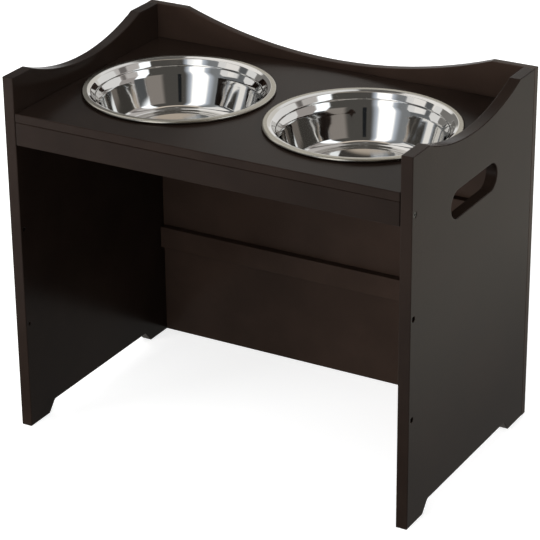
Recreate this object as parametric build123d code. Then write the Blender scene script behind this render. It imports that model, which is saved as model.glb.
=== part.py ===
from build123d import *
from math import cos, radians, tan
import os

# Raised two-bowl feeding station for a dog, with open storage under its bowl shelf.
# Millimetres. Origin at the middle of the footprint, on the floor. The open front faces -Y,
# the back panel is at +Y, +X is the right-hand side seen from the front and +Z is up.

# ---------------------------------------------------------------- driving dimensions

# Bowls: pressed steel, hung in the shelf by a rolled rim
rim_diameter = 258.0        # outside of the rolled rim
rim_flat_width = 7.3        # flat top of the rim, in from its outer edge
rim_height = 5.0            # top of the rim above the shelf
rim_edge_radius = 2.5       # rolled outer edge of the rim
rim_lip_radius = 10.7       # rounded lip from the flat top into the collar
bowl_depth = 65.0           # top of the rim to the inside floor
collar_straight = 0.5       # straight stretch of the collar between lip and shoulder
collar_lean = 6.0           # degrees that the collar leans in
shoulder_height = 8.3       # sloping shoulder under the collar
shoulder_lean = 33.0        # degrees
shoulder_top_bend = 3.0     # radius from collar to shoulder
shoulder_foot_bend = 18.0   # radius from shoulder to wall
wall_top_lean = 14.0        # degrees, under the shoulder
wall_foot_lean = 25.0       # degrees, over the floor
wall_bend_share = 0.5       # where the wall bends, as a share of its height
floor_corner_radius = 14.0  # inside bend from wall to floor
floor_ring_width = 8.0      # level ring between that bend and the raised disc
floor_disc_rise = 3.0       # disc pressed up in the middle of the floor
floor_disc_slope = 6.0      # run of the slope round the disc
sheet = 0.8                 # steel sheet
bowl_seat_gap = 0.3         # free air between the rim and the shelf
bowl_hole_clearance = 3.0   # between the collar and the hole in the shelf

# Where the bowls sit
bowl_gap = 16.0             # between the two rims
bowl_side_margin = 13.0     # between a rim and the side panel
bowl_front_margin = 46.0    # between a rim and the front edge
bowl_back_margin = 46.0     # between a rim and the back panel

# Boards
side_thickness = 16.0
back_thickness = 12.0
shelf_thickness = 12.0
apron_thickness = 16.0
apron_height = 32.0
cleat_thickness = 12.0
cleat_height = 32.0
body_height = 505.0
board_edge_radius = 1.0     # eased edges of the painted boards
shelf_end_gap = 0.8         # shelf and apron ends to the side panels
shelf_back_gap = 1.0        # shelf to the back panel
cleat_end_gap = 1.0         # cleat ends to the side panels

# Side panel outline
side_flat = 45.0            # level stretch at each end of the top edge
side_dip = 26.0             # depth of the curve between them
foot_length = 44.0          # each foot, along the floor
foot_slope = 14.0           # run of the sloping end of a foot
foot_height = 16.0          # height of the gap between the feet
foot_corner_radius = 7.0    # inside corner of that gap
handle_length = 134.0
handle_height = 38.0
handle_drop = 106.0         # top edge down to the middle of the handle slot

# Back panel outline
back_flat = 62.0
back_dip = 40.0

# Three shelf levels, set by bolt holes in the side panels and cleats on the back panel
level_count = 3
level_spacing = 138.0
top_level_drop = 76.0       # top edge down to the highest bolt hole

# M4 socket-head bolts through the side panels into barrel nuts in the apron
bolt_diameter = 4.0
bolt_length = 40.0          # under the head
bolt_hole_diameter = 5.0
bolt_head_diameter = 7.0
bolt_head_height = 4.0
bolt_head_recess = 0.5      # head below the face of the side panel
bolt_socket = 3.0           # across flats
bolt_socket_depth = 2.0
counterbore_diameter = 8.0
barrel_nut_diameter = 8.0
barrel_nut_length = 12.0
barrel_nut_inset = 22.0     # apron end to the middle of the nut

# Countersunk screws through the back panel
screw_diameter = 4.0
screw_head_diameter = 8.0
screw_point = 4.0           # length of the pointed tip
screw_cross_width = 1.0     # cross recess in the head
screw_cross_depth = 1.2
screw_cross_length = 4.4
side_screw_length = 40.0
side_screw_count = 4
side_screw_end = 40.0       # lowest and highest screw to the ends of the panel
cleat_screw_length = 20.0
cleat_screw_count = 3
cleat_screw_end = 75.0      # outer screws to the ends of the cleat

# Dowels between the apron and the shelf
dowel_diameter = 6.0
dowel_in_shelf = 8.0
dowel_in_apron = 16.0
dowel_count = 4
dowel_end = 60.0            # outer dowels to the ends of the apron
dowel_chamfer = 0.8

fastener_clearance = 0.05   # all round a fastener in its hole
hole_end_clearance = 0.5    # past the end of a fastener in a blind hole

# ---------------------------------------------------------------- derived sizes

rim_radius = rim_diameter / 2

inner_width = 2 * (rim_diameter + bowl_side_margin) + bowl_gap
side_depth = bowl_front_margin + rim_diameter + bowl_back_margin
half_width = inner_width / 2 + side_thickness
half_inner = inner_width / 2
front_y = -(side_depth + back_thickness) / 2
side_back_y = front_y + side_depth
bowl_x = (bowl_gap + rim_diameter) / 2
bowl_y = front_y + bowl_front_margin + rim_radius

bolt_y = front_y + apron_thickness / 2
levels = [body_height - top_level_drop - i * level_spacing for i in range(level_count)]
apron_top = levels[0] + apron_height / 2
shelf_top = apron_top + shelf_thickness
rim_top = shelf_top + rim_height
counterbore_depth = bolt_head_height + bolt_head_recess
shelf_half_length = half_inner - shelf_end_gap
screw_head_height = (screw_head_diameter - screw_diameter) / 2


def spread(count, half_span):
    """Evenly spaced places from -half_span to +half_span."""
    if count == 1:
        return [0.0]
    return [half_span * (2 * i / (count - 1) - 1) for i in range(count)]


def board(x_low, x_high, y_low, y_high, z_low, z_high):
    """A rectangular board with eased edges."""
    block = Pos((x_low + x_high) / 2, (y_low + y_high) / 2, (z_low + z_high) / 2) * Box(
        x_high - x_low, y_high - y_low, z_high - z_low)
    return fillet(block.edges(), board_edge_radius)


def rod(start, direction, radius, length):
    """A round bar from a start point along a direction."""
    plane = Plane(origin=start, z_dir=direction)
    return extrude(plane * Circle(radius), length)


# ---------------------------------------------------------------- fasteners

def countersunk_screw(length, extra=0.0):
    """A screw along +Z with its flat head at z = 0; extra makes the hole that it fits."""
    shank = screw_diameter / 2 + extra
    head = screw_head_diameter / 2 + extra
    tip_start = length - screw_point
    outline = Polyline((0, 0), (head, 0), (shank, screw_head_height), (shank, tip_start),
                       (0, length + extra), close=True)
    return revolve(Plane.XZ * make_face(outline), Axis.Z)


def crossed_screw(length):
    """A countersunk screw with its cross recess."""
    bar = Box(screw_cross_length, screw_cross_width, 2 * screw_cross_depth)
    return countersunk_screw(length) - bar - Rot(0, 0, 90) * bar


def driven_forward(x, z):
    """Places a screw in the rear face of the back panel, pointing to the front."""
    return Pos(x, side_back_y + back_thickness, z) * Rot(90, 0, 0)


def side_screw_places(side):
    """Screws from the back panel into the rear edge of one side panel."""
    middle = body_height / 2
    x = side * (half_width - side_thickness / 2)
    return [driven_forward(x, middle + z) for z in spread(side_screw_count, middle - side_screw_end)]


def cleat_screw_places(level):
    """Screws from the back panel into the cleat of one level."""
    z = cleat_top(level) - cleat_height / 2
    half_span = half_inner - cleat_end_gap - cleat_screw_end
    return [driven_forward(x, z) for x in spread(cleat_screw_count, half_span)]


def screw_group(places, length):
    return Compound(children=[place * crossed_screw(length) for place in places])


def screw_holes(places, length):
    return [place * countersunk_screw(length, fastener_clearance) for place in places]


def bolt_outline(side, extra=0.0):
    """Head and shank of an apron bolt, without its socket."""
    inward = (-side, 0, 0)
    seat_x = side * (half_width - counterbore_depth)
    head = rod((seat_x, bolt_y, levels[0]), (side, 0, 0), bolt_head_diameter / 2 + extra,
               bolt_head_height)
    shank = rod((seat_x, bolt_y, levels[0]), inward, bolt_diameter / 2 + extra,
                bolt_length + extra)
    return head + shank


def apron_bolt(side):
    """Socket-head bolt through a side panel into the barrel nut."""
    mouth = Plane(origin=(side * (half_width - bolt_head_recess), bolt_y, levels[0]),
                  z_dir=(-side, 0, 0))
    socket = mouth * RegularPolygon(bolt_socket / 2, 6, major_radius=False)
    return bolt_outline(side) - extrude(socket, bolt_socket_depth)


def barrel_nut_x(side):
    return side * (shelf_half_length - barrel_nut_inset)


def barrel_nut(side):
    """Cross nut in the apron, drilled for its bolt."""
    start = (barrel_nut_x(side), bolt_y - barrel_nut_length / 2, levels[0])
    body = rod(start, (0, 1, 0), barrel_nut_diameter / 2, barrel_nut_length)
    return body - bolt_outline(side, fastener_clearance)


def dowel_places():
    return spread(dowel_count, shelf_half_length - dowel_end)


def dowel_holes(low, high):
    """Holes for the dowels from one height to another."""
    radius = dowel_diameter / 2 + fastener_clearance
    return [rod((x, bolt_y, low), (0, 0, 1), radius, high - low) for x in dowel_places()]


def apron_dowels():
    """Glued dowels that join the apron to the underside of the shelf."""
    length = dowel_in_shelf + dowel_in_apron
    pin = rod((0, bolt_y, apron_top - dowel_in_apron), (0, 0, 1), dowel_diameter / 2, length)
    pin = chamfer(pin.edges().filter_by(GeomType.CIRCLE), dowel_chamfer)
    return Compound(children=[Pos(x, 0, 0) * pin for x in dowel_places()])


# ---------------------------------------------------------------- boards

def side_outline():
    """Front to back outline of a side panel, drawn as (y, z)."""
    front, back, top = front_y, side_back_y, body_height
    middle = (front + back) / 2
    slope_end = foot_length + foot_slope
    lines = Polyline((front + foot_length, 0), (front, 0), (front, top), (front + side_flat, top))
    lines += ThreePointArc((front + side_flat, top), (middle, top - side_dip),
                           (back - side_flat, top))
    lines += Polyline((back - side_flat, top), (back, top), (back, 0), (back - foot_length, 0))
    lines += FilletPolyline((back - foot_length, 0), (back - slope_end, foot_height),
                            (front + slope_end, foot_height), (front + foot_length, 0),
                            radius=foot_corner_radius)
    return make_face(lines)


def side_panel(side):
    """Side panel with its feet, curved top, handle slot and three stepped bolt holes."""
    face_plane = Plane(origin=(side * half_width, 0, 0), x_dir=(0, 1, 0), z_dir=(1, 0, 0))
    middle = (front_y + side_back_y) / 2
    slot = Pos(middle, body_height - handle_drop) * SlotOverall(handle_length, handle_height)
    panel = extrude(face_plane * (side_outline() - slot), -side * side_thickness)
    panel = fillet(panel.faces().filter_by(Axis.X).edges(), board_edge_radius)
    inward = (-side, 0, 0)
    for level in levels:
        mouth = (side * half_width, bolt_y, level)
        panel -= rod(mouth, inward, bolt_hole_diameter / 2, side_thickness)
        panel -= rod(mouth, inward, counterbore_diameter / 2, counterbore_depth)
    return panel - screw_holes(side_screw_places(side), side_screw_length)


def back_panel():
    """Full-width back panel that laps the rear edges of the side panels."""
    top, half = body_height, half_width
    lines = Polyline((-half + back_flat, top), (-half, top), (-half, 0), (half, 0), (half, top),
                     (half - back_flat, top))
    lines += ThreePointArc((half - back_flat, top), (0, top - back_dip), (-half + back_flat, top))
    face_plane = Plane(origin=(0, side_back_y, 0), x_dir=(1, 0, 0), z_dir=(0, -1, 0))
    panel = extrude(face_plane * make_face(lines), -back_thickness)
    panel = fillet(panel.faces().filter_by(Axis.Y).edges(), board_edge_radius)
    for side in (-1, 1):
        panel -= screw_holes(side_screw_places(side), side_screw_length)
    for level in levels:
        panel -= screw_holes(cleat_screw_places(level), cleat_screw_length)
    return panel


def bowl_shelf():
    """Shelf with a round hole for each bowl."""
    hole_radius = collar_top_radius() + sheet + bowl_hole_clearance
    shelf = board(-shelf_half_length, shelf_half_length, front_y, side_back_y - shelf_back_gap,
                  apron_top, shelf_top)
    for x in (-bowl_x, bowl_x):
        shelf -= Pos(x, bowl_y, (apron_top + shelf_top) / 2) * Cylinder(hole_radius, shelf_thickness)
    return shelf - dowel_holes(apron_top, apron_top + dowel_in_shelf + hole_end_clearance)


def front_apron():
    """Rail under the front edge of the shelf, drilled for bolts, barrel nuts and dowels."""
    apron = board(-shelf_half_length, shelf_half_length, front_y, front_y + apron_thickness,
                  apron_top - apron_height, apron_top)
    nut_hole_depth = (apron_thickness + barrel_nut_length) / 2 + fastener_clearance
    bolt_hole_length = half_width - counterbore_depth - bolt_length - hole_end_clearance
    for side in (-1, 1):
        apron -= rod((side * shelf_half_length, bolt_y, levels[0]), (-side, 0, 0),
                     bolt_hole_diameter / 2, shelf_half_length - bolt_hole_length)
        apron -= rod((barrel_nut_x(side), front_y + apron_thickness, levels[0]), (0, -1, 0),
                     barrel_nut_diameter / 2 + fastener_clearance, nut_hole_depth)
    return apron - dowel_holes(apron_top - dowel_in_apron - hole_end_clearance, apron_top)


def cleat_top(level):
    """A cleat carries the underside of the shelf when the apron is bolted at its level."""
    return level + apron_height / 2


def rear_cleat(level):
    """Rail on the back panel that carries the rear edge of the shelf."""
    top = cleat_top(level)
    half = half_inner - cleat_end_gap
    cleat = board(-half, half, side_back_y - cleat_thickness, side_back_y, top - cleat_height, top)
    return cleat - screw_holes(cleat_screw_places(level), cleat_screw_length)


# ---------------------------------------------------------------- bowls

def bend_run(radius, turn):
    """Length that a bend takes from each of the two straights that it joins."""
    return radius * tan(radians(turn / 2))


def leant(height, lean):
    """How far a wall of some height steps in when it leans by some degrees."""
    return height * tan(radians(lean))


def lip_run():
    return bend_run(rim_lip_radius, 90 - collar_lean)


def collar_top_radius():
    """Where the line of the collar would meet the top of the rim."""
    return rim_radius - rim_flat_width - lip_run()


def wall_bend_radius(upper_height, lower_height):
    """The gentlest bend that fits between the shoulder's bend and the floor corner."""
    upper_run = upper_height / cos(radians(wall_top_lean))
    upper_run -= bend_run(shoulder_foot_bend, shoulder_lean - wall_top_lean)
    lower_run = lower_height / cos(radians(wall_foot_lean))
    lower_run -= bend_run(floor_corner_radius, 90 - wall_foot_lean)
    return 0.98 * min(upper_run, lower_run) / bend_run(1, wall_foot_lean - wall_top_lean)


def bowl_inside():
    """Inside line of a bowl, from the middle of its floor to the edge of its rim."""
    collar_length = lip_run() + collar_straight
    collar_length += bend_run(shoulder_top_bend, shoulder_lean - collar_lean)
    collar_depth = collar_length * cos(radians(collar_lean))
    wall_top_z = -collar_depth - shoulder_height
    wall_height = bowl_depth + wall_top_z
    upper_height = wall_height * wall_bend_share
    lower_height = wall_height - upper_height
    shoulder_top_radius = collar_top_radius() - leant(collar_depth, collar_lean)
    wall_top_radius = shoulder_top_radius - leant(shoulder_height, shoulder_lean)
    wall_bend_r = wall_top_radius - leant(upper_height, wall_top_lean)
    floor_radius = wall_bend_r - leant(lower_height, wall_foot_lean)
    disc_foot = floor_radius - bend_run(floor_corner_radius, 90 - wall_foot_lean) - floor_ring_width
    return FilletPolyline(
        (0, floor_disc_rise - bowl_depth),
        (disc_foot - floor_disc_slope, floor_disc_rise - bowl_depth),
        (disc_foot, -bowl_depth),
        (floor_radius, -bowl_depth),
        (wall_bend_r, wall_top_z - upper_height),
        (wall_top_radius, wall_top_z),
        (shoulder_top_radius, -collar_depth),
        (collar_top_radius(), 0),
        (rim_radius, 0),
        (rim_radius, bowl_seat_gap - rim_height),
        radius=[floor_disc_slope, floor_disc_slope, floor_corner_radius,
                wall_bend_radius(upper_height, lower_height), shoulder_foot_bend,
                shoulder_top_bend, rim_lip_radius, rim_edge_radius])


def bowl(x):
    """Pressed bowl: one sheet from the middle of the floor to the edge of the rolled rim."""
    section = make_face(offset(bowl_inside(), sheet, side=Side.RIGHT))
    return Pos(x, bowl_y, rim_top) * revolve(Plane.XZ * section, Axis.Z)


# ---------------------------------------------------------------- all sub-parts

def sub_parts():
    parts = {"back_panel": back_panel(), "bowl_shelf": bowl_shelf(), "front_apron": front_apron(),
             "apron_dowels": apron_dowels()}
    for name, side in (("left", -1), ("right", 1)):
        parts[f"{name}_side_panel"] = side_panel(side)
        parts[f"{name}_bowl"] = bowl(side * bowl_x)
        parts[f"{name}_apron_bolt"] = apron_bolt(side)
        parts[f"{name}_barrel_nut"] = barrel_nut(side)
        parts[f"{name}_back_screws"] = screw_group(side_screw_places(side), side_screw_length)
    for name, level in zip(("upper", "middle", "lower"), levels):
        parts[f"{name}_rear_cleat"] = rear_cleat(level)
        parts[f"{name}_cleat_screws"] = screw_group(cleat_screw_places(level), cleat_screw_length)
    return parts


os.makedirs("parts", exist_ok=True)
for node, shape in sub_parts().items():
    export_step(shape, f"parts/{node}.step")
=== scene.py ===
"""Looks of the raised two-bowl feeding station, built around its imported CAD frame."""
import math

import bpy
from mathutils import Matrix, Vector


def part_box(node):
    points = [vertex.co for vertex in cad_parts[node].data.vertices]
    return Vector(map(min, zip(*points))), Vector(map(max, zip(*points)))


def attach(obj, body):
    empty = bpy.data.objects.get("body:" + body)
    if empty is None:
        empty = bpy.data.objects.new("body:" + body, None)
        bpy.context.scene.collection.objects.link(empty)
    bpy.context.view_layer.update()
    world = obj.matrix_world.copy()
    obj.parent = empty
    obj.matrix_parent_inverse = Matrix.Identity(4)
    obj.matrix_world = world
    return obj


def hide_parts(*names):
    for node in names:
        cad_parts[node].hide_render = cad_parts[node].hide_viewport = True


MM = 0.001

# ---------------------------------------------------------------- frame

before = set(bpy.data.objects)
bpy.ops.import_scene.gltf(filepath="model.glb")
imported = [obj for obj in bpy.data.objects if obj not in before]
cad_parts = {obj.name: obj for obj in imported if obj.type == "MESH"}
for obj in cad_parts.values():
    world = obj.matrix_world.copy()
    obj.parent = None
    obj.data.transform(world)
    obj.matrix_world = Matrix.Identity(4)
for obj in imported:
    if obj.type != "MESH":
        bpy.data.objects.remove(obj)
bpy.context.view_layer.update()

# ---------------------------------------------------------------- camera

# fitted to the photograph's corners, board edges and rims; the place is in metres, azimuth
# is from the front towards the right, and elevation from level
FRAME_PIXELS = 540
FOCAL_PIXELS = 2384.9
SENSOR_MM = 36.0
CAMERA_AZIMUTH = math.radians(29.931)
CAMERA_ELEVATION = math.radians(24.486)
CAMERA_ROLL = math.radians(-0.557)
CAMERA_PLACE = Vector((1.44521, -2.51802, 1.54590))
CAMERA_NEAREST, CAMERA_FARTHEST = 0.05, 100


def make_camera():
    """Camera at its place, turned by azimuth, elevation and roll."""
    back = Vector((math.sin(CAMERA_AZIMUTH) * math.cos(CAMERA_ELEVATION),
                   -math.cos(CAMERA_AZIMUTH) * math.cos(CAMERA_ELEVATION),
                   math.sin(CAMERA_ELEVATION)))
    level = Vector((math.cos(CAMERA_AZIMUTH), math.sin(CAMERA_AZIMUTH), 0))
    right = math.cos(CAMERA_ROLL) * level + math.sin(CAMERA_ROLL) * back.cross(level)
    up = back.cross(right)
    data = bpy.data.cameras.new("camera")
    data.sensor_width = SENSOR_MM
    data.lens = FOCAL_PIXELS / FRAME_PIXELS * SENSOR_MM
    data.clip_start, data.clip_end = CAMERA_NEAREST, CAMERA_FARTHEST
    camera = bpy.data.objects.new("camera", data)
    camera.matrix_world = (Matrix.Translation(CAMERA_PLACE)
                           @ Matrix((right, up, back)).transposed().to_4x4())
    bpy.context.scene.collection.objects.link(camera)
    bpy.context.scene.camera = camera


make_camera()

# ---------------------------------------------------------------- node helpers

# cosine between the true and the rounded normal, just off the flat and well into an edge
EDGE_FACING = (0.995, 0.86)
# most of a noise lies between these
NOISE_SPREAD = (0.3, 0.7)


class Tree:
    """A node tree with short calls for adding nodes and wiring them."""

    def __init__(self, owner):
        owner.use_nodes = True
        self.tree = owner.node_tree
        self.tree.nodes.clear()

    def add(self, kind, **properties):
        """A new node with the given properties."""
        node = self.tree.nodes.new(kind)
        for key, value in properties.items():
            setattr(node, key, value)
        return node

    def wire(self, source, target):
        """Links an output to an input."""
        self.tree.links.new(source, target)

    def feed(self, socket, value):
        """Wires an output into a socket, or sets the socket to a plain value."""
        if isinstance(value, bpy.types.NodeSocket):
            self.wire(value, socket)
        else:
            socket.default_value = value

    def math(self, operation, a, b=0.0, clamp=False):
        """Result of a number operation on a and b."""
        node = self.add("ShaderNodeMath", operation=operation, use_clamp=clamp)
        self.feed(node.inputs[0], a)
        self.feed(node.inputs[1], b)
        return node.outputs[0]

    def vector(self, operation, a, b=(0, 0, 0), output="Vector"):
        """Result of a vector operation on a and b."""
        node = self.add("ShaderNodeVectorMath", operation=operation)
        self.feed(node.inputs[0], a)
        self.feed(node.inputs[1], b)
        return node.outputs[output]

    def ramp(self, value, low, high, to_low=0.0, to_high=1.0):
        """Smooth step from to_low at low to to_high at high."""
        node = self.add("ShaderNodeMapRange", interpolation_type="SMOOTHSTEP")
        self.feed(node.inputs["Value"], value)
        node.inputs["From Min"].default_value = low
        node.inputs["From Max"].default_value = high
        node.inputs["To Min"].default_value = to_low
        node.inputs["To Max"].default_value = to_high
        return node.outputs["Result"]

    def noise(self, place, scale, detail=2.0, roughness=0.5):
        """Noise from 0 to 1, with scale cells to the unit of place."""
        node = self.add("ShaderNodeTexNoise")
        self.feed(node.inputs["Vector"], place)
        node.inputs["Scale"].default_value = scale
        node.inputs["Detail"].default_value = detail
        node.inputs["Roughness"].default_value = roughness
        return node.outputs["Fac"]

    def mix(self, factor, a, b):
        """Colour a where factor is 0 and b where it is 1. Inputs 6 and 7 are the two colours."""
        node = self.add("ShaderNodeMix", data_type="RGBA")
        self.feed(node.inputs[0], factor)
        self.feed(node.inputs[6], a)
        self.feed(node.inputs[7], b)
        return node.outputs[2]

    def bump(self, height, strength, distance, normal=None):
        """Normal of a surface with this relief, over another normal if one is given."""
        node = self.add("ShaderNodeBump")
        self.feed(node.inputs["Height"], height)
        node.inputs["Strength"].default_value = strength
        node.inputs["Distance"].default_value = distance
        if normal is not None:
            self.wire(normal, node.inputs["Normal"])
        return node.outputs["Normal"]

    def object_place(self):
        """Place on the object in metres."""
        return self.add("ShaderNodeTexCoord").outputs["Object"]

    def edges(self, radius, samples):
        """Normal with edges rounded by radius, and 1 at such edges, 0 away from them."""
        true_normal = self.add("ShaderNodeNewGeometry").outputs["Normal"]
        bevel = self.add("ShaderNodeBevel", samples=samples)
        bevel.inputs["Radius"].default_value = radius
        rounded = bevel.outputs["Normal"]
        facing = self.vector("DOT_PRODUCT", rounded, true_normal, "Value")
        return rounded, self.ramp(facing, *EDGE_FACING)


def surface_material(name):
    """A material with a Principled surface. Returns it, its tree and the shader node."""
    material = bpy.data.materials.new(name)
    tree = Tree(material)
    shader = tree.add("ShaderNodeBsdfPrincipled")
    output = tree.add("ShaderNodeOutputMaterial")
    tree.wire(shader.outputs[0], output.inputs["Surface"])
    return material, tree, shader


# ---------------------------------------------------------------- painted boards

PAINT = (0.0175, 0.0112, 0.0085)
PAINT_WORN = (0.038, 0.023, 0.017, 1)
PAINT_MOTTLING = (0.86, 1.14)
PAINT_ROUGHNESS = (0.17, 0.22)
PAINT_SMEARS, PAINT_RUBBING = 0.05, 0.12    # what smears and rubbed edges add to the roughness
PAINT_IOR = 1.135
BOARD_EDGE = 1.6 * MM


def painted_board(name, seed, painted_light=1.0):
    """Satin espresso paint over smooth board: faint mottling, orange peel and rubbed edges."""
    material, tree, shader = surface_material(name)
    place = tree.vector("ADD", tree.object_place(), (seed, seed * 2, seed * 3))
    rounded, edge = tree.edges(BOARD_EDGE, samples=6)
    broken = tree.ramp(tree.noise(place, scale=38, detail=4, roughness=0.65),
                       low=0.46, high=0.72)
    worn = tree.math("MULTIPLY", edge, broken)
    mottle = tree.noise(place, scale=9, detail=5, roughness=0.6)
    speckle = tree.noise(place, scale=900)
    # the board's factor scales the paint lighter or darker for the light this board gets: painted
    # light and shade
    dark, light = ([*(part * painted_light * level for part in PAINT), 1] for level in PAINT_MOTTLING)
    tone = tree.mix(tree.ramp(mottle, *NOISE_SPREAD), dark, light)
    tree.feed(shader.inputs["Base Color"], tree.mix(worn, tone, PAINT_WORN))
    smears = tree.math("MULTIPLY", tree.noise(place, scale=60, detail=3, roughness=0.6),
                       PAINT_SMEARS)
    rough = tree.math("ADD", tree.ramp(mottle, 0.25, 0.75, *PAINT_ROUGHNESS), smears)
    rubbed = tree.math("MULTIPLY", worn, PAINT_RUBBING)
    tree.feed(shader.inputs["Roughness"], tree.math("ADD", rough, rubbed))
    shader.inputs["IOR"].default_value = PAINT_IOR
    peel = tree.bump(tree.noise(place, scale=420), strength=0.06, distance=0.15 * MM,
                     normal=rounded)
    fine = tree.bump(speckle, strength=0.03, distance=0.05 * MM, normal=peel)
    tree.wire(fine, shader.inputs["Normal"])
    return material


# ---------------------------------------------------------------- metals and wood

STEEL = (0.62, 0.61, 0.59, 1)
# the ring's satin turning is real; its darker, beige colour is a painted reflection of the warm
# room it mirrors
SATIN_STEEL_WITH_BEIGE_REFLECTION = (0.40, 0.38, 0.33, 1)
MIRROR_ROUGHNESS = (0.035, 0.075)
SATIN_ROUGHNESS = (0.15, 0.24)
RING_FADE = 0.6 * MM
TURNING = (3, 2600, 1)    # noise cells once round the bowl, and to the metre along its section
FITTING_EDGE = 0.3 * MM
FITTING_GRAIN = 0.15      # what the grain adds to the roughness
BEECH_DARK, BEECH_LIGHT = (0.52, 0.35, 0.20, 1), (0.66, 0.48, 0.30, 1)
BEECH_FLECK = (0.30, 0.18, 0.10, 1)
BEECH_ROUGHNESS = (0.55, 0.72)
BEECH_GRAIN = (420, 420, 60)          # noise cells to the metre across and along a pin
BEECH_FLECKING = (1500, 1500, 260)    # the same for its flecks


def polished_steel(name):
    """Mirror-polished bowl with faint smears; the flat ring of its rim is turned to a satin."""
    material, tree, shader = surface_material(name)
    place = tree.object_place()
    turned = tree.add("ShaderNodeUVMap", uv_map="turned").outputs["UV"]
    along = tree.add("ShaderNodeSeparateXYZ")
    tree.wire(turned, along.inputs[0])
    ring = tree.ramp(along.outputs["Y"], RING_START, RING_START + RING_FADE)
    smear = tree.noise(place, scale=26, detail=4, roughness=0.6)
    lines = tree.noise(tree.vector("MULTIPLY", turned, TURNING), scale=1, detail=3, roughness=0.6)
    # the rim ring takes the satin colour, which carries a painted reflection
    tree.feed(shader.inputs["Base Color"], tree.mix(ring, STEEL, SATIN_STEEL_WITH_BEIGE_REFLECTION))
    shader.inputs["Metallic"].default_value = 1.0
    mirror = tree.ramp(smear, 0.3, 0.75, *MIRROR_ROUGHNESS)
    satin = tree.ramp(lines, *NOISE_SPREAD, *SATIN_ROUGHNESS)
    tree.feed(shader.inputs["Roughness"],
              tree.math("MAXIMUM", mirror, tree.math("MULTIPLY", ring, satin)))
    wavy = tree.bump(tree.noise(place, scale=42, detail=1, roughness=0.4), strength=1.0,
                     distance=0.05 * MM)
    turning = tree.bump(tree.math("MULTIPLY", ring, lines), strength=0.12, distance=0.02 * MM,
                        normal=wavy)
    tree.wire(turning, shader.inputs["Normal"])
    return material


def fitting_metal(name, dark, light, rubbed, roughness):
    """Plated or blackened steel of bolts, nuts and screws, with a fine grain and rubbed corners."""
    material, tree, shader = surface_material(name)
    grain = tree.noise(tree.object_place(), scale=900, detail=3, roughness=0.6)
    rounded, edge = tree.edges(FITTING_EDGE, samples=4)
    colour = tree.mix(tree.ramp(grain, *NOISE_SPREAD), (*dark, 1), (*light, 1))
    tree.feed(shader.inputs["Base Color"], tree.mix(edge, colour, (*rubbed, 1)))
    shader.inputs["Metallic"].default_value = 1.0
    tree.feed(shader.inputs["Roughness"],
              tree.ramp(grain, *NOISE_SPREAD, roughness, roughness + FITTING_GRAIN))
    fine = tree.bump(grain, strength=0.1, distance=0.02 * MM, normal=rounded)
    tree.wire(fine, shader.inputs["Normal"])
    return material


def bare_beech(name):
    """Smooth beech dowels: pale brown with short dark flecks along the pin."""
    material, tree, shader = surface_material(name)
    place = tree.object_place()
    grain = tree.noise(tree.vector("MULTIPLY", place, BEECH_GRAIN), scale=1, detail=4,
                       roughness=0.6)
    fleck = tree.ramp(tree.noise(tree.vector("MULTIPLY", place, BEECH_FLECKING), scale=1),
                      low=0.62, high=0.72)
    wood = tree.mix(tree.ramp(grain, *NOISE_SPREAD), BEECH_DARK, BEECH_LIGHT)
    tree.feed(shader.inputs["Base Color"], tree.mix(fleck, wood, BEECH_FLECK))
    tree.feed(shader.inputs["Roughness"], tree.ramp(grain, *NOISE_SPREAD, *BEECH_ROUGHNESS))
    tree.wire(tree.bump(grain, strength=0.2, distance=0.1 * MM), shader.inputs["Normal"])
    return material


# ---------------------------------------------------------------- smooth bowls

# millimetres and degrees; depths are under the top of the rim, slopes from level,
# leans from upright, and a bend is the radius between one part and the next
RIM_RADIUS = 129.0
RIM_FLAT = 7.3
RIM_EDGE_BEND = 2.5
BROW_SLOPE, BROW_BEND, BROW_DEPTH = 22.0, 3.0, 1.75
LIP_SLOPE, LIP_BEND, LIP_DEPTH, LIP_FOOT_BEND = 52.5, 3.0, 9.05, 3.0
COLLAR_STRAIGHT, COLLAR_LEAN, COLLAR_BEND = 0.2, 6.0, 3.0
SHOULDER_HEIGHT, SHOULDER_LEAN, SHOULDER_BEND = 8.3, 33.0, 18.0
WALL_TOP_LEAN, WALL_FOOT_LEAN = 16.5, 22.7
WALL_BEND_SHARE = 0.98    # how much of the wall its long bend may take up
BOWL_DEPTH, FLOOR_BEND = 65.0, 14.0
FLOOR_RING, DISC_RISE, DISC_SLOPE_RUN = 8.0, 3.0, 6.0
BEAD_RADIUS = 2.2
BEAD_DEPTH, BEAD_END_DEPTH = 4.7, 1.8
SHEET = 0.8

# how finely the bowls are divided
ARC_STEP = math.radians(5)
FEWEST_ARC_STEPS = 3
TURNS = 192
LONG_RUN, RUN_INSET = 1.5, 0.35    # a longer straight run gets points this far from its ends
SAME_PLACE = 1e-4     # points nearer than this are one
MITRE_LIMIT = 0.5     # keeps the offset line from spiking at a sharp corner


def slope(degrees):
    """Tangent of an angle in degrees."""
    return math.tan(math.radians(degrees))


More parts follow.
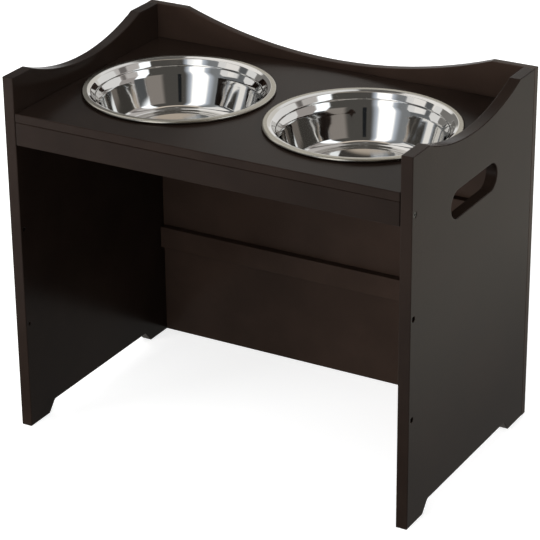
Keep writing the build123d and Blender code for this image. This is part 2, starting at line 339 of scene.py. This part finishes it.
def bowl_corners():
    """(radius, height) corners of the inside of a bowl, floor to rim, with the bend at each."""
    brow_r = RIM_RADIUS - RIM_FLAT - BROW_BEND * slope(BROW_SLOPE / 2)
    lip_r = brow_r - BROW_DEPTH / slope(BROW_SLOPE)
    collar_r = lip_r - (LIP_DEPTH - BROW_DEPTH) / slope(LIP_SLOPE)
    collar_length = (LIP_FOOT_BEND * slope((90 - LIP_SLOPE - COLLAR_LEAN) / 2) + COLLAR_STRAIGHT
                     + COLLAR_BEND * slope((SHOULDER_LEAN - COLLAR_LEAN) / 2))
    collar_depth = LIP_DEPTH + collar_length * math.cos(math.radians(COLLAR_LEAN))
    shoulder_r = collar_r - (collar_depth - LIP_DEPTH) * slope(COLLAR_LEAN)
    wall_r = shoulder_r - SHOULDER_HEIGHT * slope(SHOULDER_LEAN)
    wall_z = -collar_depth - SHOULDER_HEIGHT
    half_wall = (BOWL_DEPTH + wall_z) / 2
    middle_r = wall_r - half_wall * slope(WALL_TOP_LEAN)
    floor_r = middle_r - half_wall * slope(WALL_FOOT_LEAN)
    floor_run = FLOOR_BEND * slope((90 - WALL_FOOT_LEAN) / 2)
    disc_r = floor_r - floor_run - FLOOR_RING
    upper_run = (half_wall / math.cos(math.radians(WALL_TOP_LEAN))
                 - SHOULDER_BEND * slope((SHOULDER_LEAN - WALL_TOP_LEAN) / 2))
    lower_run = half_wall / math.cos(math.radians(WALL_FOOT_LEAN)) - floor_run
    wall_bend = (WALL_BEND_SHARE * min(upper_run, lower_run)
                 / slope((WALL_FOOT_LEAN - WALL_TOP_LEAN) / 2))
    bead_r = RIM_RADIUS - 2 * BEAD_RADIUS
    return [((0, DISC_RISE - BOWL_DEPTH), 0),
            ((disc_r - DISC_SLOPE_RUN, DISC_RISE - BOWL_DEPTH), DISC_SLOPE_RUN),
            ((disc_r, -BOWL_DEPTH), DISC_SLOPE_RUN),
            ((floor_r, -BOWL_DEPTH), FLOOR_BEND),
            ((middle_r, wall_z - half_wall), wall_bend),
            ((wall_r, wall_z), SHOULDER_BEND),
            ((shoulder_r, -collar_depth), COLLAR_BEND),
            ((collar_r, -LIP_DEPTH), LIP_FOOT_BEND),
            ((lip_r, -BROW_DEPTH), LIP_BEND),
            ((brow_r, 0), BROW_BEND),
            ((RIM_RADIUS, 0), RIM_EDGE_BEND),
            ((RIM_RADIUS, -BEAD_DEPTH), BEAD_RADIUS),
            ((bead_r, -BEAD_DEPTH), BEAD_RADIUS),
            ((bead_r, -BEAD_END_DEPTH), 0)]


def bent_path(corners):
    """A fine line through the corners with an arc at each, and close points beside every arc."""
    points = [Vector(corners[0][0])]
    for (a, _), (b, radius), (c, _) in zip(corners, corners[1:], corners[2:]):
        a, b, c = Vector(a), Vector(b), Vector(c)
        back, on = (a - b).normalized(), (c - b).normalized()
        half = back.angle(on) / 2
        start = b + back * radius / math.tan(half)
        centre = b + (back + on).normalized() * radius / math.sin(half)
        turn = math.pi - 2 * half
        side = math.copysign(1, back.x * on.y - back.y * on.x)
        run = start - points[-1]
        if run.length > LONG_RUN:
            inset = run.normalized() * RUN_INSET
            points += [points[-1] + inset, points[-1] + run / 2, start - inset]
        steps = max(FEWEST_ARC_STEPS, math.ceil(turn / ARC_STEP))
        arm = start - centre
        for i in range(steps + 1):
            bend = -side * turn * i / steps
            points.append(centre + Vector((arm.x * math.cos(bend) - arm.y * math.sin(bend),
                                           arm.x * math.sin(bend) + arm.y * math.cos(bend))))
    points.append(Vector(corners[-1][0]))
    return [p for p, q in zip(points, [None] + points)
            if q is None or (p - q).length > SAME_PLACE]


def offset_path(points, distance):
    """The line moved sideways by distance, to the right of its direction."""
    moved = []
    for i, p in enumerate(points):
        ins = (p - points[i - 1]).normalized() if i else (points[1] - p).normalized()
        out = (points[i + 1] - p).normalized() if i + 1 < len(points) else ins
        along = (ins + out).normalized()
        reach = distance / max(MITRE_LIMIT, along.dot(ins))
        moved.append(p + Vector((along.y, -along.x)) * reach)
    moved[0].x = 0.0
    return moved


def lengths_along(section):
    """Distance of each point of a line from its start, along it."""
    lengths = [0.0]
    for p, q in zip(section, section[1:]):
        lengths.append(lengths[-1] + (q - p).length)
    return lengths


def lathe(name, section, centre):
    """Turns a section, (radius, height) in mm, round a vertical axis.

    Its UV map runs from 0 to 1 round the bowl, and along the section in metres.
    """
    lengths = lengths_along(section)
    vertices, rings = [], []
    for p in section:
        if p.x < SAME_PLACE:
            rings.append([len(vertices)] * TURNS)
            vertices.append((centre[0], centre[1], centre[2] + p.y * MM))
            continue
        rings.append(list(range(len(vertices), len(vertices) + TURNS)))
        for t in range(TURNS):
            turn = 2 * math.pi * t / TURNS
            vertices.append((centre[0] + p.x * MM * math.cos(turn),
                             centre[1] + p.x * MM * math.sin(turn), centre[2] + p.y * MM))
    faces, uvs = [], []
    for j in range(len(section) - 1):
        low, high = rings[j], rings[j + 1]
        for t in range(TURNS):
            n = (t + 1) % TURNS
            corners = [(low[t], t, j), (low[n], t + 1, j),
                       (high[n], t + 1, j + 1), (high[t], t, j + 1)]
            if low[t] == low[n]:
                corners = [corners[0], corners[2], corners[3]]
            elif high[t] == high[n]:
                corners = corners[:3]
            faces.append([c[0] for c in corners])
            uvs += [(c[1] / TURNS, lengths[c[2]] * MM) for c in corners]
    mesh = bpy.data.meshes.new(name)
    mesh.from_pydata(vertices, [], faces)
    layer = mesh.uv_layers.new(name="turned")
    layer.data.foreach_set("uv", [x for uv in uvs for x in uv])
    mesh.polygons.foreach_set("use_smooth", [True] * len(faces))
    mesh.update()
    piece = bpy.data.objects.new(name, mesh)
    bpy.context.scene.collection.objects.link(piece)
    return piece


BOWL_INSIDE = bent_path(bowl_corners())
BOWL_OUTSIDE = offset_path(BOWL_INSIDE, SHEET)
# metres along the section to the first point on top of the rim
RING_START = MM * next(reach for reach, p in zip(lengths_along(BOWL_INSIDE), BOWL_INSIDE)
                       if p.y > -SAME_PLACE)


def make_bowl(side, material):
    """One smooth bowl in the place of its CAD node."""
    node = f"{side}_bowl"
    low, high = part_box(node)
    centre = ((low.x + high.x) / 2, (low.y + high.y) / 2, high.z)
    bowl = lathe(f"{side}_polished_bowl", BOWL_INSIDE + BOWL_OUTSIDE[::-1], centre)
    bowl.data.materials.append(material)
    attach(bowl, node)
    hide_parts(node)


# ---------------------------------------------------------------- dressing the pieces

BOARDS = ["left_side_panel", "right_side_panel", "back_panel", "bowl_shelf", "front_apron",
          "upper_rear_cleat", "middle_rear_cleat", "lower_rear_cleat"]
# painted light and shade: one paint, made lighter or darker on these boards to stand in for the
# light each board gets
PAINTED_LIGHT_LEVELS = {"front_apron": 0.86, "back_panel": 2.12, "middle_rear_cleat": 2.2,
          "lower_rear_cleat": 2.2}
SEED_STEP = 3.1


def dress(node, material):
    """Gives a CAD node one material."""
    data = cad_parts[node].data
    data.materials.clear()
    data.materials.append(material)


steel = polished_steel("bowl steel")
# painted shade: the zinc of the bolts and nuts is given a near-black colour that stands in for the
# shade of the holes they sit in
shade_darkened_zinc = fitting_metal("zinc plate darkened as shade", dark=(0.042, 0.041, 0.039), light=(0.08, 0.079, 0.075),
                       rubbed=(0.17, 0.168, 0.16), roughness=0.32)
blackened = fitting_metal("black screws", dark=(0.035, 0.034, 0.033), light=(0.07, 0.068, 0.065),
                          rubbed=(0.16, 0.16, 0.155), roughness=0.38)
beech = bare_beech("bare beech")
# materials by the last word of a node's name
FITTINGS = {"bolt": shade_darkened_zinc, "nut": shade_darkened_zinc, "screws": blackened, "dowels": beech}
for number, node in enumerate(BOARDS):
    dress(node, painted_board(f"{node} paint", SEED_STEP * number, PAINTED_LIGHT_LEVELS.get(node, 1.0)))
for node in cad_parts:
    kind = node.rsplit("_", 1)[-1]
    if kind in FITTINGS:
        dress(node, FITTINGS[kind])
for side in ("left", "right"):
    make_bowl(side, steel)

# ---------------------------------------------------------------- floor and surround

FLOOR_SPAN = 30
FLOOR_GREY = 0.70
FLOOR_GLOW = 0.75         # lifts the floor to white where it is seen
SURROUND_LIGHT = 0.20     # on the object; seen directly, the surround is white


def seen_directly(tree):
    """1 for rays from the camera and for rays that metal and glass send on, else 0."""
    path = tree.add("ShaderNodeLightPath")
    seen = tree.math("ADD", path.outputs["Is Camera Ray"], path.outputs["Is Glossy Ray"])
    return tree.math("ADD", seen, path.outputs["Is Transmission Ray"], clamp=True)


def floor_and_surround():
    """White floor that keeps the shadow, and a white surround."""
    bpy.ops.mesh.primitive_plane_add(size=FLOOR_SPAN, location=(0, 0, 0))
    floor = bpy.context.object
    floor.name = "stage_floor"
    material = bpy.data.materials.new("floor")
    tree = Tree(material)
    diffuse = tree.add("ShaderNodeBsdfDiffuse")
    diffuse.inputs["Color"].default_value = (FLOOR_GREY, FLOOR_GREY, FLOOR_GREY, 1)
    glow = tree.add("ShaderNodeEmission")
    tree.wire(tree.math("MULTIPLY", seen_directly(tree), FLOOR_GLOW), glow.inputs["Strength"])
    add = tree.add("ShaderNodeAddShader")
    tree.wire(diffuse.outputs[0], add.inputs[0])
    tree.wire(glow.outputs[0], add.inputs[1])
    output = tree.add("ShaderNodeOutputMaterial")
    tree.wire(add.outputs[0], output.inputs["Surface"])
    floor.data.materials.append(material)

    world = bpy.data.worlds.new("studio")
    bpy.context.scene.world = world
    sky = Tree(world)
    background = sky.add("ShaderNodeBackground")
    background.inputs["Color"].default_value = (1, 1, 1, 1)
    white = sky.math("MULTIPLY", seen_directly(sky), 1 - SURROUND_LIGHT)
    sky.wire(sky.math("ADD", SURROUND_LIGHT, white), background.inputs["Strength"])
    output = sky.add("ShaderNodeOutputWorld")
    sky.wire(background.outputs[0], output.inputs["Surface"])


# ---------------------------------------------------------------- what shiny surfaces mirror

# Plain cards stand in for the room of the photograph. They give the bowls
# their windows and dark walls, and the boards their sheen. Azimuth 0 is straight in front.
ROOM_CENTRE = Vector((0, 0, 0.45))
ROOM_RADIUS = 2.6
CARD_CELLS = 16
WHITE, WARM, COOL, PINK = (1, 1, 1), (1.0, 0.95, 0.88), (0.90, 0.95, 1.0), (1.0, 0.93, 0.90)

# name, azimuths and elevations in degrees, colour, strength, how much nearer than the room's
# radius in metres, and the width of the faded edge in degrees
WALL_CARDS = [
    ("ceiling", (-180, 180), (62, 90), WARM, 0.15, -0.2, 2.5),
    ("dark_room", (8, 84), (-8, 70), WARM, 0.095, 0.0, 2.5),
    ("brown_flat", (51, 87), (-6, 32), (1.0, 0.91, 0.84), 0.33, 0.1, 8),
    ("camera_stand", (24.5, 31.5), (-8, 26), (0.8, 0.9, 1.0), 0.02, 0.1, 1.5),
    ("warm_band", (-45, 105), (59, 74), (1.0, 0.88, 0.76), 0.9, 0.1, 4),
    ("side_low", (82, 103), (-8, 22), COOL, 0.12, 0.1, 2.5),
    ("side_strip", (80, 103), (17, 60), COOL, 2.0, 0.2, 4),
    ("side_pink", (100, 132), (-8, 36), PINK, 0.45, 0.0, 2.5),
    ("right_bounce", (100, 182), (33, 72), (1.0, 0.96, 0.94), 0.65, 0.0, 2.5),
    ("right_post", (121, 135), (30, 76), PINK, 0.20, 0.1, 3),
    ("left_bounce", (-140, -50), (28, 72), (1.0, 0.98, 0.96), 1.15, 0.0, 2.5),
    ("left_post", (-84, -69), (24, 76), COOL, 0.15, 0.1, 3),
    ("left_grey", (-42, -12), (-8, 70), COOL, 0.30, 0.0, 2.5),
    ("left_dark", (-80, -38), (-8, 28), COOL, 0.20, 0.0, 2.5),
    ("back_left_flag", (-147, -96), (2, 30), (1.0, 0.97, 0.93), 0.25, 0.0, 2.5),
    ("back_flag", (-162, -134), (36, 70), WARM, 0.16, 0.0, 2.5),
    ("window_halo", (-28, 20), (-8, 66), (0.80, 0.88, 1.0), 0.85, 0.2, 11),
    ("front_window", (-19, 11), (-3, 60), WHITE, 1.8, 0.3, 5),
    ("behind", (-190, -138), (10, 36), (1.0, 0.97, 0.91), 0.80, -0.1, 5),
]
# name, spans along x and y, colour, strength, width of the faded edge and height, in metres
FLOOR_CARDS = [
    # the first card is dimmer than the floor under it and stands in for the object's shadow on the
    # floor where the boards mirror it: painted shadow
    ("painted_floor_shadow", (-0.65, 0.60), (-0.62, 0.78), (1.0, 0.98, 0.93), 0.50, 0.30, 0.002),
    ("right_floor", (0.10, 1.80), (-0.30, 2.20), (1.0, 0.98, 0.88), 1.06, 0.15, 0.001),
]


def card(name, place, spans, colour, strength, soft):
    """A glowing sheet that only shiny surfaces see.

    place turns a pair from the two spans into a point. The edges fade over soft, in the
    spans' own unit.
    """
    cells = CARD_CELLS
    (left, right), (low, high) = spans
    vertices = [place(left + (right - left) * i / cells, low + (high - low) * j / cells)
                for j in range(cells + 1) for i in range(cells + 1)]
    faces = [(k, k + 1, k + cells + 2, k + cells + 1)
             for j in range(cells) for k in range(j * (cells + 1), j * (cells + 1) + cells)]
    mesh = bpy.data.meshes.new(name)
    mesh.from_pydata(vertices, [], faces)
    layer = mesh.uv_layers.new(name="span")
    for loop, corner in zip(mesh.loops, layer.data):
        corner.uv = (loop.vertex_index % (cells + 1) / cells,
                     loop.vertex_index // (cells + 1) / cells)
    sheet = bpy.data.objects.new(name, mesh)
    bpy.context.scene.collection.objects.link(sheet)
    material = bpy.data.materials.new(name)
    tree = Tree(material)
    glow = tree.add("ShaderNodeEmission")
    glow.inputs["Color"].default_value = (*colour, 1)
    glow.inputs["Strength"].default_value = strength
    across = tree.add("ShaderNodeSeparateXYZ")
    tree.wire(tree.add("ShaderNodeUVMap", uv_map="span").outputs["UV"], across.inputs[0])
    inside = [tree.math("MULTIPLY",
                        tree.math("MINIMUM", share, tree.math("SUBTRACT", 1.0, share)), size)
              for share, size in zip(across.outputs, (right - left, high - low))]
    faded = tree.add("ShaderNodeMixShader")
    tree.wire(tree.ramp(tree.math("MINIMUM", *inside), 0.0, soft), faded.inputs[0])
    tree.wire(tree.add("ShaderNodeBsdfTransparent").outputs[0], faded.inputs[1])
    tree.wire(glow.outputs[0], faded.inputs[2])
    output = tree.add("ShaderNodeOutputMaterial")
    tree.wire(faded.outputs[0], output.inputs["Surface"])
    material.cycles.emission_sampling = "NONE"
    mesh.materials.append(material)
    sheet.visible_camera = sheet.visible_diffuse = sheet.visible_shadow = False
    sheet.visible_transmission = sheet.visible_volume_scatter = False


def wall_card(name, azimuths, elevations, colour, strength, nearer, soft):
    """A card that bends round the room."""
    def place(azimuth, elevation):
        a, e = math.radians(azimuth), math.radians(elevation)
        return ROOM_CENTRE + (ROOM_RADIUS - nearer) * Vector((
            math.sin(a) * math.cos(e), -math.cos(a) * math.cos(e), math.sin(e)))
    card(name, place, (azimuths, elevations), colour, strength, soft)


def floor_card(name, x_span, y_span, colour, strength, soft, height):
    """A card that lies just over the floor."""
    card(name, lambda x, y: Vector((x, y, height)), (x_span, y_span), colour, strength, soft)


# ---------------------------------------------------------------- lamps

# The lamps give only the diffuse light, so they leave no highlight of their own.
LOW_AIM = (0.0, 0.0, 0.3)

# name, place and size in metres, power in watts, the place it is aimed at, spread in degrees
FILLS = [
    ("front window", (-0.16, -1.80, 1.84), (1.06, 3.4), 28, ROOM_CENTRE, 180),
    ("top fill", (0.0, 0.0, 3.0), (2.4, 2.4), 4, LOW_AIM, 180),
    ("low front fill", (0.0, -2.3, 0.40), (0.9, 0.5), 6.5, LOW_AIM, 180),
    ("low left fill", (-1.5, -1.6, 0.40), (0.8, 0.5), 27, LOW_AIM, 180),
    ("right fill", (1.5, 0.0, 1.15), (0.5, 0.5), 1.0, (0.295, 0.0, 0.48), 44),
    ("outer left fill", (-2.0, 0.5, 1.0), (0.9, 0.8), 14, LOW_AIM, 180),
    ("back fill", (-0.3, 2.2, 0.9), (0.9, 0.8), 16, LOW_AIM, 180),
]


def fill(name, place, size, power, aim, spread):
    """A soft lamp that lights the part and isn't mirrored in it."""
    data = bpy.data.lights.new(name, "AREA")
    data.shape = "RECTANGLE"
    data.size, data.size_y = size
    data.energy = power
    data.spread = math.radians(spread)
    light = bpy.data.objects.new(name, data)
    light.location = place
    light.rotation_mode = "QUATERNION"
    light.rotation_quaternion = (Vector(aim) - Vector(place)).to_track_quat("-Z", "Y")
    light.visible_glossy = light.visible_camera = False
    bpy.context.scene.collection.objects.link(light)


floor_and_surround()
for row in WALL_CARDS:
    wall_card(*row)
for row in FLOOR_CARDS:
    floor_card(*row)
for row in FILLS:
    fill(*row)

bpy.context.scene.view_settings.view_transform = "Standard"
